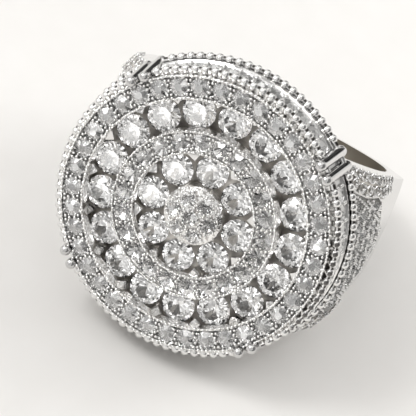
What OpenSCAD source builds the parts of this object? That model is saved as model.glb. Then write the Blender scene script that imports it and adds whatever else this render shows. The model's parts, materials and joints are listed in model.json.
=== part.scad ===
// Halo ring: a wide band with flared, stone-set shoulders carries a round stepped head.
// Round stones stand in two channels of the head, small stones fill the rims between them.
// The ring lies on its side, as it rests on a table, with the finger hole's centre at the origin.

/* [Band] */
// Inner diameter of the finger hole
hole_d = 19.8; // [18.9:0.1:20.6]
// Wall thickness at the bottom of the band
band_wall = 0.95; // [0.9:0.05:1.3]
// Half width of the band at the height of the finger's centre
band_half_w = 5; // [4.6:0.1:5.4]
// Growth of that half width for each millimetre of height
band_flare = 0.268; // [0.24:0.002:0.29]
// Radius of the shoulders' outer curve
shoulder_r = 11.9; // [11.7:0.1:12.1]
// Height of the centre of the shoulders' outer curve
shoulder_z = 2.2; // [1.9:0.1:2.6]
// Radius of the dome across the shoulders' width
shoulder_dome = 20; // [18:1:40]
// Radius of the window in the top of the band, under the head
window_r = 4.4; // [3.5:0.1:5]

/* [Head] */
// Height of the upper beaded edge above the finger's centre
head_z = 13.2; // [13.2:0.1:14]
// Radius of the upper beaded edge, at the middle of its wire
edge_r = 10.85; // [10.8:0.05:11]
// Radius of the lower beaded edge, at the middle of its wire
tier_r = 11.25; // [11.2:0.05:11.5]
// Radius of both edge wires
wire_r = 0.22; // [0.2:0.01:0.3]
// Height of the setting from its underside to the upper edge
setting_h = 2.45; // [2.4:0.05:2.7]
// Clearance between the setting and the tier under it
seam = 0.1; // [0.08:0.01:0.15]
// Thickness of the lower tier
tier_t = 0.7; // [0.6:0.05:0.8]

/* [Large stones] */
// Number of stones in the outer channel
outer_count = 17; // [17]
// Radius of the circle through the outer stones
outer_ring_r = 7.62; // [7.6:0.01:7.7]
// Diameter of an outer stone
outer_d = 2.62; // [2.5:0.01:2.64]
// Girdle height of the outer stones, from the upper edge
outer_girdle_z = -0.5; // [-0.6:0.05:-0.4]
// Number of stones in the inner channel
inner_count = 8; // [8]
// Radius of the circle through the inner stones
inner_ring_r = 3.56; // [3.5:0.01:3.6]
// Diameter of an inner stone
inner_d = 2.52; // [2.4:0.01:2.56]
// Girdle height of the inner stones, from the upper edge
inner_girdle_z = 0.05; // [0:0.05:0.15]

/* [Small stones] */
// Number of stones in the outer rim
rim_count = 38; // [36:1:39]
// Radius of the circle through the rim stones
rim_ring_r = 9.65; // [9.63:0.01:9.66]
// Diameter of a rim stone
rim_d = 1.42; // [1.36:0.01:1.43]
// Number of stones in the inner rim
halo_count = 22; // [20:1:23]
// Radius of the circle through the inner rim's stones
halo_ring_r = 5.57; // [5.55:0.01:5.6]
// Diameter of an inner rim stone
halo_d = 1.38; // [1.3:0.01:1.39]
// Number of stones round the middle one of the centre cluster
cluster_count = 6; // [6]
// Diameter of a cluster stone
cluster_d = 1.26; // [1.15:0.01:1.28]
// Diameter of a shoulder stone
shoulder_stone_d = 1.06; // [0.95:0.01:1.1]

/* [Prongs] */
// Radius of a prong bar at its foot
prong_r = 0.46; // [0.42:0.01:0.47]
// Radius of a prong bar under its ball
prong_tip_r = 0.39; // [0.34:0.01:0.39]
// Radius of the ball at a prong's tip
ball_r = 0.42; // [0.4:0.01:0.43]
// Angle from the middle of a pair of prongs to each of the two
prong_half_angle = 2.95; // [2.85:0.05:3.1]

/* [Hidden] */
OUTER_NODES = ["outer_stone_01", "outer_stone_02", "outer_stone_03", "outer_stone_04",
    "outer_stone_05", "outer_stone_06", "outer_stone_07", "outer_stone_08",
    "outer_stone_09", "outer_stone_10", "outer_stone_11", "outer_stone_12",
    "outer_stone_13", "outer_stone_14", "outer_stone_15", "outer_stone_16",
    "outer_stone_17"];
INNER_NODES = ["inner_stone_1", "inner_stone_2", "inner_stone_3", "inner_stone_4",
    "inner_stone_5", "inner_stone_6", "inner_stone_7", "inner_stone_8"];

$fn = 96;
far = 60;               // longer than anything in the ring
metal = "silver";
stone = [0.93, 0.95, 0.97];

// Finger hole and band
hole_r = hole_d / 2;
band_r = hole_r + band_wall;
// The tangent line that joins the band's outer circle to the shoulders' outer circle
tangent_tilt = asin((shoulder_r - band_r) / shoulder_z);
// How far the domed shoulders reach from the middle of the ring
dome_reach = shoulder_r - 0.05;
// The facet at each side of a shoulder is the plane x = facet_x - facet_in * |y| - facet_rise * z,
// and below facet_turn it goes on straight down to facet_end
facet_x = 16.7;
facet_in = 0.5;
facet_rise = 0.452;
facet_turn = 6.6;
facet_end = 2.8;
facet_low_x = facet_x - facet_rise * facet_turn;
// The sunken panel in each shoulder, where its stones stand: it ends in a V below
tray_depth = 0.6;
tray_low = 2.3;
tray_vee = 0.72;        // rise of the V for each millimetre away from its point
tray_high = 9.35;
tray_rim = 0.12;
// Pitch and setting of the stones in the panels
shoulder_gap = 0.14;
shoulder_row = 0.9;     // distance of two rows, as a share of the pitch
shoulder_sink = 0.08;

// Lower tier of the head
seat_z = head_z - setting_h - seam;
tier_in = 8.3;
tier_wire_z = head_z - 2.65;

// A cut stone's proportions, as shares of its diameter
table_share = 0.56;
crown_share = 0.16;
girdle_share = 0.03;
pavilion_share = 0.43;

// Side clearance of a stone in its channel or groove, and how far the rims reach over the girdles
stone_gap = 0.03;
lip_reach = 0.23;
lip_z = 0.22;
floor_gap = 0.12;
girdle_play = 0.02;
outer_half = outer_d / 2 + stone_gap;
inner_half = inner_d / 2 + stone_gap;
outer_floor = outer_girdle_z - pavilion_share * outer_d - floor_gap;
inner_floor = inner_girdle_z - pavilion_share * inner_d - floor_gap;
// Tops of the metal of the two rims, and how deep their stones' girdles sit in them
rim_top = 0.68;
halo_top = 0.66;
pave_sink = 0.18;
pave_gap = 0.05;
pave_shelf = 0.04;
rim_wall = 0.12;
rim_chamfer = 0.06;
halo_chamfer = 0.12;

// Side wall of the setting, outwards from the middle of the edge wire: it widens downwards to its
// lower edge, has a sunken belt for the small stones, and steps back to a foot
wall_high_out = 0.12;
wall_low_out = 0.3;
foot_in = 0.3;
foot_h = 0.2;
belt_depth = 0.2;
belt_low = -1.95;
belt_high = -0.4;
belt_slope = 0.15;
wire_bed = 0.25;

// Light hole under each large stone
azure_r = 0.7;

// Centre boss and its seven stones
boss_r = inner_ring_r - inner_half;
boss_top = 1.12;
boss_round = 4.6;
cluster_ring_r = 1.42;
cluster_lift = 0.14;
cluster_tilt = asin(cluster_ring_r / boss_round);
seat_gap = 0.03;
seat_tip = 0.05;
seat_spare = 0.1;

// Double prongs: the four pairs stand at the diagonals
prong_foot = [11.2, -3.15];
prong_top = [10.8, 0.76];
notch_gap = 0.06;

// Lying on its side, the ring touches the table with the lower edge of its head and the bottom of its band
foot_y = tier_r + wire_r;
foot_z = tier_wire_z;
heel_y = band_half_w - band_flare * band_r;
rest_tilt = atan((foot_y - heel_y) / (foot_z + band_r));

// Turns the ring from the upright frame, head up and finger along Y, onto its side
module on_its_side() {
    rotate([90 - rest_tilt, 0, 0]) children();
}

// Moves a part from the plane of the upper beaded edge to its height
module on_head() {
    translate([0, 0, head_z]) children();
}

// Angle of stone i in a circle of n, with one stone on the finger's axis
function stone_angle(i, n) = 90 + i * 360 / n;

// n points on a circle of radius r at height z, the first at angle a
function circle_points(n, r, z, a = 0) =
    [for (i = [0:n - 1]) [r * cos(a + 360 * i / n), r * sin(a + 360 * i / n), z]];

// A full brilliant cut of diameter d, its girdle at z = 0 and its table up
module brilliant(d) {
    r = d / 2;
    table_r = r * table_share;
    table_z = crown_share * d;
    girdle_low = -girdle_share * d;
    culet_z = -pavilion_share * d;
    star_r = r * 0.77;
    star_z = table_z * (r - star_r * cos(22.5)) / (r - table_r);
    heel_r = r * 0.28;
    heel_z = girdle_low + (culet_z - girdle_low) * (r - heel_r * cos(22.5)) / r;
    points = concat(
        circle_points(8, table_r, table_z),             // 0 to 7
        circle_points(8, star_r, star_z, 22.5),         // 8 to 15
        circle_points(16, r, 0),                        // 16 to 31
        circle_points(16, r, girdle_low),               // 32 to 47
        circle_points(8, heel_r, heel_z, 22.5),         // 48 to 55
        [[0, 0, culet_z]]);                             // 56
    faces = concat(
        [[for (i = [7:-1:0]) i]],
        [for (i = [0:7]) [i, (i + 1) % 8, 8 + i]],
        [for (i = [0:7]) [i, 8 + i, 16 + 2 * i]],
        [for (i = [0:7]) [i, 16 + 2 * i, 8 + (i + 7) % 8]],
        [for (i = [0:7]) [8 + i, 17 + 2 * i, 16 + 2 * i]],
        [for (i = [0:7]) [8 + i, 16 + (2 * i + 2) % 16, 17 + 2 * i]],
        [for (j = [0:15]) [16 + j, 16 + (j + 1) % 16, 32 + (j + 1) % 16]],
        [for (j = [0:15]) [16 + j, 32 + (j + 1) % 16, 32 + j]],
        [for (i = [0:7]) [48 + i, 32 + 2 * i, 33 + 2 * i]],
        [for (i = [0:7]) [48 + i, 33 + 2 * i, 32 + (2 * i + 2) % 16]],
        [for (i = [0:7]) [48 + i, 56, 32 + 2 * i]],
        [for (i = [0:7]) [48 + (i + 7) % 8, 32 + 2 * i, 56]]);
    polyhedron(points = points, faces = faces, convexity = 2);
}

// A single cut of diameter d with eight crown and eight pavilion facets, its girdle at z = 0
module single_cut(d) {
    r = d / 2;
    points = concat(
        circle_points(8, r * table_share, crown_share * d),
        circle_points(8, r, 0),
        [[0, 0, -pavilion_share * d]]);
    faces = concat(
        [[for (i = [7:-1:0]) i]],
        [for (i = [0:7]) [i, (i + 1) % 8, 8 + (i + 1) % 8]],
        [for (i = [0:7]) [i, 8 + (i + 1) % 8, 8 + i]],
        [for (i = [0:7]) [16, 8 + i, 8 + (i + 1) % 8]]);
    polyhedron(points = points, faces = faces, convexity = 2);
}

// A ring of wire of radius wire_r round the head
module edge_wire(r, z) {
    rotate_extrude() translate([r, z]) circle(r = wire_r, $fn = 32);
}

// Outline of the band and shoulders, seen along the finger
module band_outline() {
    circle(r = band_r);
    translate([0, shoulder_z]) circle(r = shoulder_r);
    low = band_r * [cos(tangent_tilt), -sin(tangent_tilt)];
    high = [shoulder_r * cos(tangent_tilt), shoulder_z - shoulder_r * sin(tangent_tilt)];
    polygon([[low.x, low.y], [high.x, high.y], [-high.x, high.y], [-low.x, low.y]]);
}

// Extrudes an outline drawn in the plane of the finger hole along the finger, both ways
module along_finger(half_length) {
    rotate([90, 0, 0]) linear_extrude(height = 2 * half_length, center = true) children();
}

// The space between the two sloping sides of the band, up to height top
module band_taper(top) {
    low = -band_r - 1;
    half_low = band_half_w + band_flare * low;
    half_top = band_half_w + band_flare * top;
    rotate([90, 0, 90]) linear_extrude(height = far, center = true)
        polygon([[-half_low, low], [half_low, low], [half_top, top], [-half_top, top]]);
}

// The space inside the shoulders' dome: two upright cylinders that cross, moved in by inset
module dome_space(inset = 0) {
    intersection_for (s = [-1, 1])
        translate([s * (shoulder_dome - dome_reach), 0, -far / 2])
            cylinder(r = shoulder_dome - inset, h = far);
}

// All that lies outside the plane x = at_x - facet_in * y - rise * z
module beyond_plane(at_x, rise) {
    normal = [1, facet_in, rise];
    lean = acos(normal.z / norm(normal));
    turn = atan2(normal.y, normal.x);
    translate([at_x, 0, 0]) rotate([0, lean, turn])
        translate([-far, -far, 0]) cube([2 * far, 2 * far, far]);
}

// All that lies outside the facets of the two shoulders, when each is moved in along Y by inset
module beyond_facets(inset = 0) {
    intersection() {
        for (sx = [0, 1], sy = [0, 1]) mirror([sx, 0, 0]) mirror([0, sy, 0]) {
            beyond_plane(facet_x - facet_in * inset, facet_rise);
            beyond_plane(facet_low_x - facet_in * inset, 0);
        }
        translate([-far, -far, facet_end]) cube([2 * far, 2 * far, far]);
    }
}

// The sunken panels in the outer faces of both shoulders
module shoulder_trays() {
    side = band_half_w + band_flare * tray_high;
    difference() {
        rotate([90, 0, 90]) linear_extrude(height = far, center = true)
            polygon([[0, tray_low], [side, tray_low + tray_vee * side], [side, tray_high],
                [-side, tray_high], [-side, tray_low + tray_vee * side]]);
        intersection() {
            along_finger(far / 2) translate([0, shoulder_z]) circle(r = shoulder_r - tray_depth);
            dome_space(tray_depth);
        }
        beyond_facets(tray_rim);
    }
}

// One prong bar with its ball tip, in the plane of the angle zero, from the upper edge's height
module prong(grow = 0) {
    length = norm(prong_top - prong_foot);
    lean = atan2(prong_top.x - prong_foot.x, prong_top.y - prong_foot.y);
    translate([prong_foot.x, 0, prong_foot.y]) rotate([0, lean, 0])
        cylinder(r1 = prong_r + grow, r2 = prong_tip_r + grow, h = length, $fn = 32);
    translate([prong_top.x, 0, prong_top.y]) sphere(r = ball_r + grow, $fn = 32);
    translate([prong_foot.x, 0, prong_foot.y]) sphere(r = prong_r + grow, $fn = 32);
}

// The eight prongs, in four pairs at the diagonals
module prongs(grow = 0) {
    on_head() for (side = [45:90:315], s = [-1, 1])
        rotate(side + s * prong_half_angle) prong(grow);
}

// Band, shoulders, lower tier and prongs, soldered into one piece
module shank() {
    tier_low = seat_z - tier_t;
    color(metal) on_its_side() {
        difference() {
            intersection() {
                along_finger(far / 2) band_outline();
                band_taper(tier_low + tier_t / 2);
                dome_space();
            }
            beyond_facets();
            shoulder_trays();
            rotate([90, 0, 0]) cylinder(r = hole_r, h = far, center = true);
            cylinder(r = window_r, h = far);
        }
        difference() {
            translate([0, 0, tier_low]) cylinder(r = tier_r, h = tier_t);
            translate([0, 0, tier_low - 1]) cylinder(r = tier_in, h = tier_t + 2);
        }
        edge_wire(tier_r, tier_wire_z);
        prongs();
    }
}

// Cross-section of the setting, from its axis outwards, with heights from the upper edge
module setting_section() {
    rim_in = outer_ring_r + outer_half;
    rim_out = rim_ring_r + rim_d / 2 + pave_gap + rim_wall;
    halo_out = outer_ring_r - outer_half;
    halo_in = inner_ring_r + inner_half;
    high_r = edge_r + wall_high_out;
    low_r = edge_r + wall_low_out;
    foot_r = edge_r - foot_in;
    difference() {
        polygon([
            [0, -setting_h], [foot_r, -setting_h], [foot_r, -setting_h + foot_h],
            [low_r, -setting_h + foot_h], [low_r, belt_low],
            [low_r - belt_depth, belt_low + belt_slope],
            [high_r - belt_depth, belt_high - belt_slope], [high_r, belt_high],
            [edge_r, -wire_bed], [edge_r, 0],
            [rim_out, 0], [rim_out, rim_top - rim_chamfer], [rim_out - rim_chamfer, rim_top],
            [rim_in - lip_reach, rim_top], [rim_in - lip_reach, outer_girdle_z + lip_z],
            [rim_in, outer_girdle_z + girdle_play], [rim_in, outer_floor], [halo_out, outer_floor],
            [halo_out, outer_girdle_z + girdle_play],
            [halo_out + lip_reach, outer_girdle_z + lip_z], [halo_out + halo_chamfer, halo_top],
            [halo_in - halo_chamfer, halo_top], [halo_in - lip_reach, inner_girdle_z + lip_z],
            [halo_in, inner_girdle_z + girdle_play], [halo_in, inner_floor],
            [boss_r, inner_floor], [boss_r, boss_top], [0, boss_top]]);
        pave_groove(rim_ring_r, rim_d, rim_top);
        pave_groove(halo_ring_r, halo_d, halo_top);
    }
}

// Groove for a row of small stones of diameter d, from the rim's top down
module pave_groove(ring_r, d, top) {
    half = d / 2 + pave_gap;
    shelf = top - pave_sink - pave_shelf;
    bottom = top - pave_sink - pavilion_share * d - floor_gap;
    translate([ring_r, 0])
        polygon([[-half, top + 1], [-half, shelf], [0, bottom], [half, shelf], [half, top + 1]]);
}

// Places its child at each stone of the centre cluster, turned to face outwards
module at_cluster() {
    translate([0, 0, boss_top - boss_round + cluster_lift]) {
        translate([0, 0, boss_round]) children();
        for (i = [0:cluster_count - 1])
            rotate([0, 0, i * 360 / cluster_count]) rotate([0, cluster_tilt, 0])
                translate([0, 0, boss_round]) children();
    }
}

// The stepped upper part of the head: two channels, two rims and the centre boss
module setting() {
    color(metal) on_its_side() {
        difference() {
            on_head() difference() {
                rotate_extrude() setting_section();
                boss_rounding();
                at_cluster() seat_cone(cluster_d);
                azures(outer_count, outer_ring_r);
                azures(inner_count, inner_ring_r);
            }
            prongs(notch_gap);
        }
        on_head() difference() {
            edge_wire(edge_r, 0);
            translate([0, 0, -head_z]) prongs(notch_gap);
        }
    }
}

// Removes the corner of the centre boss above its domed top
module boss_rounding() {
    translate([0, 0, boss_top - boss_round]) difference() {
        cylinder(r = boss_r + 0.01, h = boss_round + 1);
        translate([0, 0, -boss_round]) cylinder(r = boss_r + 1, h = boss_round);
        sphere(r = boss_round);
    }
}

// A conical seat for a stone of diameter d, its stone's girdle at z = 0
module seat_cone(d) {
    depth = pavilion_share * d + seat_spare;
    seat_r = d / 2 + seat_gap;
    translate([0, 0, -depth]) cylinder(r1 = seat_tip, r2 = seat_r, h = depth, $fn = 32);
    cylinder(r = seat_r, h = 1, $fn = 32);
}

// The light holes under the stones of a channel
module azures(n, ring_r) {
    for (i = [0:n - 1])
        rotate(stone_angle(i, n)) translate([ring_r, 0, -setting_h - 1])
            cylinder(r = azure_r, h = setting_h, $fn = 32);
}

// Stone i of the outer channel
module outer_stone(i) {
    color(stone) on_its_side() on_head() rotate(stone_angle(i, outer_count))
        translate([outer_ring_r, 0, outer_girdle_z]) brilliant(outer_d);
}

// Stone i of the inner channel
module inner_stone(i) {
    color(stone) on_its_side() on_head() rotate(stone_angle(i, inner_count))
        translate([inner_ring_r, 0, inner_girdle_z]) brilliant(inner_d);
}

// A circle of n small stones with their girdles sunk below the rim's top
module pave_row(n, ring_r, d, top) {
    color(stone) on_its_side() on_head() for (i = [0:n - 1])
        rotate(stone_angle(i, n)) translate([ring_r, 0, top - pave_sink]) single_cut(d);
}

module rim_pave() {
    pave_row(rim_count, rim_ring_r, rim_d, rim_top);
}

module halo_pave() {
    pave_row(halo_count, halo_ring_r, halo_d, halo_top);
}

module centre_cluster() {
    color(stone) on_its_side() on_head() at_cluster() single_cut(cluster_d);
}

// Half width of a shoulder's panel inside its rim, at distance x from the middle and height z
function panel_half_w(x, z) =
    min(facet_x - facet_rise * z, facet_low_x) / facet_in - x / facet_in - tray_rim;

// Half width of the panel's V at height z, for the middle of a stone of radius r
function vee_half_w(z, r) = (z - tray_low - r * norm([1, tray_vee])) / tray_vee;

// Distance of a shoulder's surface from the axis of its outer curve, at angle a and width y
function shoulder_reach(a, y) =
    min(shoulder_r, (dome_reach - y * y / (2 * shoulder_dome)) / cos(a));

// The stones of one shoulder, in staggered rows across its panel
module shoulder_stones() {
    stone_r = shoulder_stone_d / 2;
    pitch = shoulder_stone_d + shoulder_gap;
    step = pitch * shoulder_row / shoulder_r * 180 / PI;
    first = asin((tray_low + stone_r * norm([1, tray_vee]) - shoulder_z) / shoulder_r) + step / 4;
    last = asin((tray_high - shoulder_z) / shoulder_r) - step / 2;
    for (k = [0:floor((last - first) / step)]) {
        a = first + k * step;
        x = shoulder_r * cos(a);
        z = shoulder_z + shoulder_r * sin(a);
        room = min(panel_half_w(x, z) - stone_r, vee_half_w(z, stone_r));
        stagger = (k % 2) * 0.5;
        for (s = [-1, 1], j = [0:floor(room / pitch - stagger)])
            if (s > 0 || j + stagger > 0) {
                y = s * (j + stagger) * pitch;
                translate([0, 0, shoulder_z]) rotate([0, 90 - a, 0])
                    translate([0, y, shoulder_reach(a, y) - shoulder_sink])
                        single_cut(shoulder_stone_d);
            }
    }
}

module shoulder_pave_right() {
    color(stone) on_its_side() shoulder_stones();
}

module shoulder_pave_left() {
    color(stone) on_its_side() mirror([1, 0, 0]) shoulder_stones();
}

shank();
setting();
for (i = [0:outer_count - 1])
    outer_stone(i);
for (i = [0:inner_count - 1])
    inner_stone(i);
rim_pave();
halo_pave();
centre_cluster();
shoulder_pave_right();
shoulder_pave_left();
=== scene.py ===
"""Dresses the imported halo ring: cut stones, grains, beaded edges, finishes, floor, light and camera."""
import json
import logging
import math
import random
from dataclasses import dataclass
from enum import Enum
from typing import Any, Callable, NamedTuple, Optional, Sequence, Union

import bpy
from mathutils import Matrix, Vector


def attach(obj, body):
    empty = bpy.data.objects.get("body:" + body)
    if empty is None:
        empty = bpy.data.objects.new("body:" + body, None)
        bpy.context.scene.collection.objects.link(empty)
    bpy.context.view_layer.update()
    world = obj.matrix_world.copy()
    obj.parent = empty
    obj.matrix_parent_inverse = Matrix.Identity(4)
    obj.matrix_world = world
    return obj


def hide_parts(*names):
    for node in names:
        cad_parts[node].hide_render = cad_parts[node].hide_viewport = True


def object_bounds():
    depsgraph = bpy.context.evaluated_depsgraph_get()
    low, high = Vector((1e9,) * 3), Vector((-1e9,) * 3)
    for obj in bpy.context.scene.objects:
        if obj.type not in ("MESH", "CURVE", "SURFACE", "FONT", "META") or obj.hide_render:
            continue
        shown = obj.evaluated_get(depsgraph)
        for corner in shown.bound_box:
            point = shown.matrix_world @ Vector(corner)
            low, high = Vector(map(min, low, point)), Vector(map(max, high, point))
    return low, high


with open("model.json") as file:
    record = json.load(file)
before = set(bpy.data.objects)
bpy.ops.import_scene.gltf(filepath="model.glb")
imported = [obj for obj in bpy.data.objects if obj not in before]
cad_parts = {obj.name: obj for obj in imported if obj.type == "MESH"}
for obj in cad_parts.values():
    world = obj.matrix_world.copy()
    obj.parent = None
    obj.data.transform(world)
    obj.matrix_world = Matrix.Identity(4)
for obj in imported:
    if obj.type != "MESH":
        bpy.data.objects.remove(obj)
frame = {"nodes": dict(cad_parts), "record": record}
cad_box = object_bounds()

MM = 0.001
UP = (0.0, 0.0, 1.0)
log = logging.getLogger("halo_ring")


class Slot(Enum):
    """The record's material slots, carried in the new pieces' dress."""

    METAL = "polished_metal"
    SMALL = "small_stones"


def polar(angle: float, radius: float, height: float = 0.0) -> Vector:
    """The point at an angle in radians and a distance from the Z axis, at a height."""
    return Vector((radius * math.cos(angle), radius * math.sin(angle), height))


@dataclass(frozen=True)
class RingFrame:
    """The ring's upright frame, head up and finger along Y, turned about X onto its side."""

    turn: float

    @classmethod
    def from_record(cls, record: dict) -> "RingFrame":
        """Reads the turn from the finger hole's axis.

        Args:
            record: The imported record.

        Returns:
            The frame in which the ring was drawn.
        """
        axis = record["mounts"][0]["axis"]
        return cls(math.atan2(axis[2], axis[1]))

    def matrix(self) -> Matrix:
        """The turn from the upright frame to the ring's place at rest."""
        return Matrix.Rotation(self.turn, 4, "X")

    def place(self, point: Sequence[float], up: Sequence[float], along: Sequence[float]) -> Matrix:
        """Stands a template at a point of the upright frame.

        Args:
            point: Its place in millimetres.
            up: Where the template's Z goes.
            along: Where its X goes, as nearly as its Z allows.

        Returns:
            The template's matrix at rest.
        """
        z = Vector(up).normalized()
        x = Vector(along)
        x = (x - x.dot(z) * z).normalized()
        y = z.cross(x)
        stand = Matrix((x, y, z)).transposed().to_4x4()
        stand.translation = Vector(point) * MM
        return self.matrix() @ stand

    def on_circle(self, angle: float, radius: float, height: float) -> Matrix:
        """Stands a template upright on a circle round the head's axis, its X outwards."""
        return self.place(polar(angle, radius, height), UP, polar(angle, 1.0))


class Rim(NamedTuple):
    """A rim's circle of small stones, in millimetres; its top is above the upper edge."""

    count: int
    ring_r: float
    stone_d: float
    top: float


class BossCircle(NamedTuple):
    """A circle on the domed boss: radius, count, height over the dome, and turn in steps."""

    ring_r: float
    count: int
    lift: float
    shift: float = 0.0


@dataclass(frozen=True)
class HeadSizes:
    """Sizes of the head in millimetres, as the solids have them; heights from the upper edge."""

    head_z: float = 13.2
    edge_r: float = 10.85
    tier_r: float = 11.25
    tier_wire_drop: float = 2.65
    setting_h: float = 2.45
    seam_gap: float = 0.1
    outer_count: int = 17
    inner_count: int = 8
    rim: Rim = Rim(38, 9.65, 1.42, 0.68)
    halo: Rim = Rim(22, 5.57, 1.38, 0.66)
    pave_sink: float = 0.18
    cluster: tuple[BossCircle, ...] = (BossCircle(0.0, 1, 0.14), BossCircle(1.42, 6, 0.14))
    cluster_d: float = 1.26
    boss_top: float = 1.12
    boss_round: float = 4.6
    wall_high_out: float = 0.12
    wall_low_out: float = 0.3
    belt_depth: float = 0.2
    belt_low: float = -1.95
    belt_high: float = -0.4
    belt_slope: float = 0.15
    bead_lean: float = 24.0
    prong_half_angle: float = 2.95
    prong_sides: tuple[float, ...] = (45.0, 135.0, 225.0, 315.0)

    def stone_angle(self, index: float, count: int) -> float:
        """Angle in radians of a stone in a circle of count, with one on the finger's axis."""
        return math.radians(90.0) + index * math.tau / count

    def belt(self) -> tuple[Vector, Vector]:
        """Finds the face of the belt of small stones round the head's side.

        Returns:
            The face's middle and the direction it faces, each as a radius and a height.
        """
        low = Vector((self.wall_low_out, self.belt_low + self.belt_slope))
        high = Vector((self.wall_high_out, self.belt_high - self.belt_slope))
        middle = (low + high) / 2 + Vector((self.edge_r - self.belt_depth, 0.0))
        rise = high - low
        return middle, Vector((rise.y, -rise.x)).normalized()

    def near_prong(self, angle: float, margin: float) -> bool:
        """Tells whether a place round the head is taken by a prong.

        Args:
            angle: The place's angle in radians.
            margin: Degrees that stay free on each side of a prong's two bars.

        Returns:
            True where a bar is nearer than the margin.
        """
        turned = math.degrees(angle) % 360.0
        bars = [side + s * self.prong_half_angle for side in self.prong_sides for s in (-1, 1)]
        return any(abs((turned - bar + 180.0) % 360.0 - 180.0) < margin for bar in bars)


@dataclass(frozen=True)
class ShoulderSizes:
    """Sizes of the band and its shoulders in millimetres, as the solids have them."""

    hole_r: float = 9.9
    half_w: float = 5.0
    flare: float = 0.268
    outer_r: float = 11.9
    outer_z: float = 2.2
    dome: float = 20.0
    dome_reach: float = 11.85
    facet_x: float = 16.7
    facet_in: float = 0.5
    facet_rise: float = 0.452
    facet_turn: float = 6.6
    facet_end: float = 2.8
    tray_low: float = 2.3
    tray_vee: float = 0.72
    tray_high: float = 9.35
    tray_rim: float = 0.12
    stone_d: float = 1.06
    gap: float = 0.14
    row: float = 0.9
    sink: float = 0.08

    def side_w(self, z: float) -> float:
        """Half width of the band at a height."""
        return self.half_w + self.flare * z

    def facet_reach(self, y: float, z: float) -> float:
        """Distance of a facet from the ring's middle, at a width and a height."""
        return self.facet_x - self.facet_in * abs(y) - self.facet_rise * max(z, self.facet_turn)

    def surface(self, turn: float, y: float) -> float:
        """Distance of a shoulder's face from the axis of its outer curve."""
        dome = (self.dome_reach - y * y / (2 * self.dome)) / math.cos(turn)
        return min(self.outer_r, dome)

    def panel_half_w(self, x: float, z: float) -> float:
        """Half width of the panel inside its rim."""
        low_x = self.facet_x - self.facet_rise * max(z, self.facet_turn)
        return (low_x - x) / self.facet_in - self.tray_rim

    def row_step(self, pitch: float) -> float:
        """Angle between two rows of a panel, whose pieces stand a pitch apart."""
        return pitch * self.row / self.outer_r

    def panel_top(self) -> float:
        """Angle of the panel's upper end round the axis of the outer curve."""
        return math.asin((self.tray_high - self.outer_z) / self.outer_r)

    def room(self, turn: float, r: float) -> float:
        """Finds how far from the panel's middle line a round piece can stand.

        Args:
            turn: The piece's angle round the axis of the outer curve.
            r: Its radius.

        Returns:
            The distance that the panel's rim and its V-shaped foot leave.
        """
        x = self.outer_r * math.cos(turn)
        z = self.outer_z + self.outer_r * math.sin(turn)
        vee = (z - self.tray_low - r * math.hypot(1, self.tray_vee)) / self.tray_vee
        return min(self.panel_half_w(x, z) - r, vee)


class Dress(NamedTuple):
    """What a piece wears: its material and its slot in the record."""

    material: bpy.types.Material
    slot: Slot


class Bench:
    """Blender's modelling operators, used on one piece at a time as by hand."""

    @staticmethod
    def clear() -> None:
        """Deselects everything."""
        bpy.ops.object.select_all(action="DESELECT")

    @staticmethod
    def open() -> bpy.types.Object:
        """Opens the primitive that was just added in edit mode, with all of it selected.

        Returns:
            The primitive.
        """
        bpy.ops.object.mode_set(mode="EDIT")
        bpy.ops.mesh.select_all(action="SELECT")
        return bpy.context.object

    @staticmethod
    def close_smooth() -> None:
        """Leaves edit mode and shades the piece smooth."""
        bpy.ops.object.mode_set(mode="OBJECT")
        bpy.ops.object.shade_smooth()

    @staticmethod
    def select_where(piece: bpy.types.Object, test: Callable[[Vector], bool]) -> None:
        """Selects, in edit mode, the points whose place passes a test.

        Args:
            piece: The piece in edit mode.
            test: Says whether a point is wanted.
        """
        bpy.ops.mesh.select_mode(type="VERT")
        bpy.ops.mesh.select_all(action="DESELECT")
        bpy.ops.object.mode_set(mode="OBJECT")
        for vertex in piece.data.vertices:
            vertex.select = test(vertex.co)
        bpy.ops.object.mode_set(mode="EDIT")

    @staticmethod
    def repeat(name: str, template: bpy.types.Object, places: Sequence[Matrix], dress: Dress,
               node: str = "") -> None:
        """Joins copies of a template into one dressed piece at the origin, which rides on the ring.

        Args:
            name: The piece's name.
            template: The shape that repeats, modelled round the origin; it is removed.
            places: A matrix for each copy.
            dress: The piece's material and slot; the slot is not used.
            node: The solid that the piece replaces, where it replaces one.
        """
        made = []
        for place in places:
            copy = template.copy()
            copy.data = template.data.copy()
            bpy.context.scene.collection.objects.link(copy)
            copy.matrix_world = place
            made.append(copy)
        bpy.context.view_layer.update()
        Bench.clear()
        for copy in made:
            copy.select_set(True)
        bpy.context.view_layer.objects.active = made[0]
        bpy.ops.object.join()
        piece = bpy.context.view_layer.objects.active
        piece.name = piece.data.name = name
        bpy.ops.object.transform_apply(location=True, rotation=True, scale=True)
        bpy.data.objects.remove(template)
        if node:
            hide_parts(node)
        piece.data.materials.append(dress.material)
        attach(piece, "root")
        log.info("%s: %d faces", piece.name, len(piece.data.polygons))

    @staticmethod
    def coat(node: bpy.types.Object, material: bpy.types.Material) -> None:
        """Gives one of the solids its material.

        Args:
            node: The solid.
            material: What it gets in each of its slots.
        """
        for slot in node.material_slots:
            slot.material = material
        log.info("%s: %s", node.name, material.name)


Scalar = Union["Number", float]


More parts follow.
